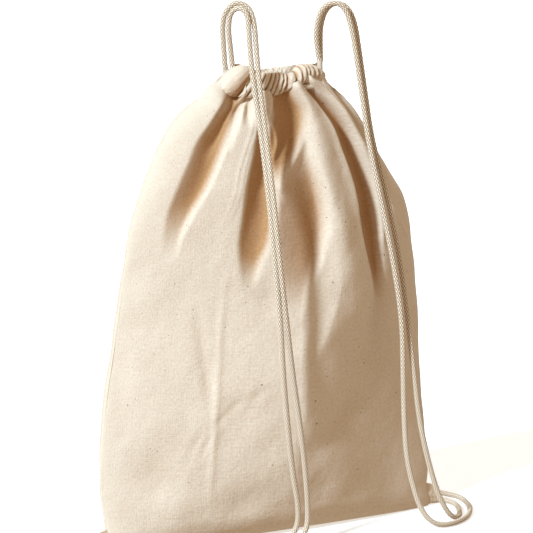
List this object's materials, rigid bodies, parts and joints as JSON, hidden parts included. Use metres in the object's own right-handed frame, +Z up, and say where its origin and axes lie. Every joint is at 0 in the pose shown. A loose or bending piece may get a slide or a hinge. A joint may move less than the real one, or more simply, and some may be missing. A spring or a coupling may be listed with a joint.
{
  "type": "drawstring backpack",
  "caption": "Soft canvas drawstring backpack, stuffed and standing, with a gathered mouth and paired braided cord straps running down to folded corner tabs.",
  "frame": {"origin": "centre of the base on the ground, at the middle of the bag's width", "axes": "+X along the bag's width, from its left end to its right end as its wearer's side is looked at; -Y out of the wearer's side, where the two straps hang; +Z up, from the base to the gathered mouth"},
  "size_m": [0.4064, 0.1525, 0.4993],
  "materials": {
    "canvas": "natural unbleached cotton canvas, matt, with seed flecks",
    "cord": "braided round cotton cord, matt",
    "thread": "cotton sewing thread"
  },
  "bodies": {
    "bag": {"wearer_side_panel": "canvas", "outer_side_panel": "canvas", "wearer_side_casing": "canvas", "outer_side_casing": "canvas", "left_corner_tab": "canvas", "right_corner_tab": "canvas", "left_seam_allowance": "canvas", "right_seam_allowance": "canvas", "bottom_seam_allowance": "canvas", "left_cord_in_casings": "cord", "right_cord_in_casings": "cord", "left_cord_sewn_ends": "cord", "right_cord_sewn_ends": "cord", "wearer_casing_stitches": "thread", "outer_casing_stitches": "thread", "left_tab_stitching": "thread", "right_tab_stitching": "thread", "left_slit_tack": "thread", "right_slit_tack": "thread"},
    "left_strap": {"left_strap_inner_strand": "cord", "left_strap_outer_strand": "cord"},
    "right_strap": {"right_strap_inner_strand": "cord", "right_strap_outer_strand": "cord"}
  },
  "joints": [
    {"name": "left_strap_swing", "type": "hinge", "parent": "bag", "child": "left_strap", "pos_m": [-0.187, -0.014, 0.0075], "axis": [-0.3351, -0.0307, -0.9417], "range_deg": [0, 130]},
    {"name": "right_strap_swing", "type": "hinge", "parent": "bag", "child": "right_strap", "pos_m": [0.187, -0.014, 0.0075], "axis": [-0.2831, 0.0312, 0.9586], "range_deg": [0, 55]}
  ]
}
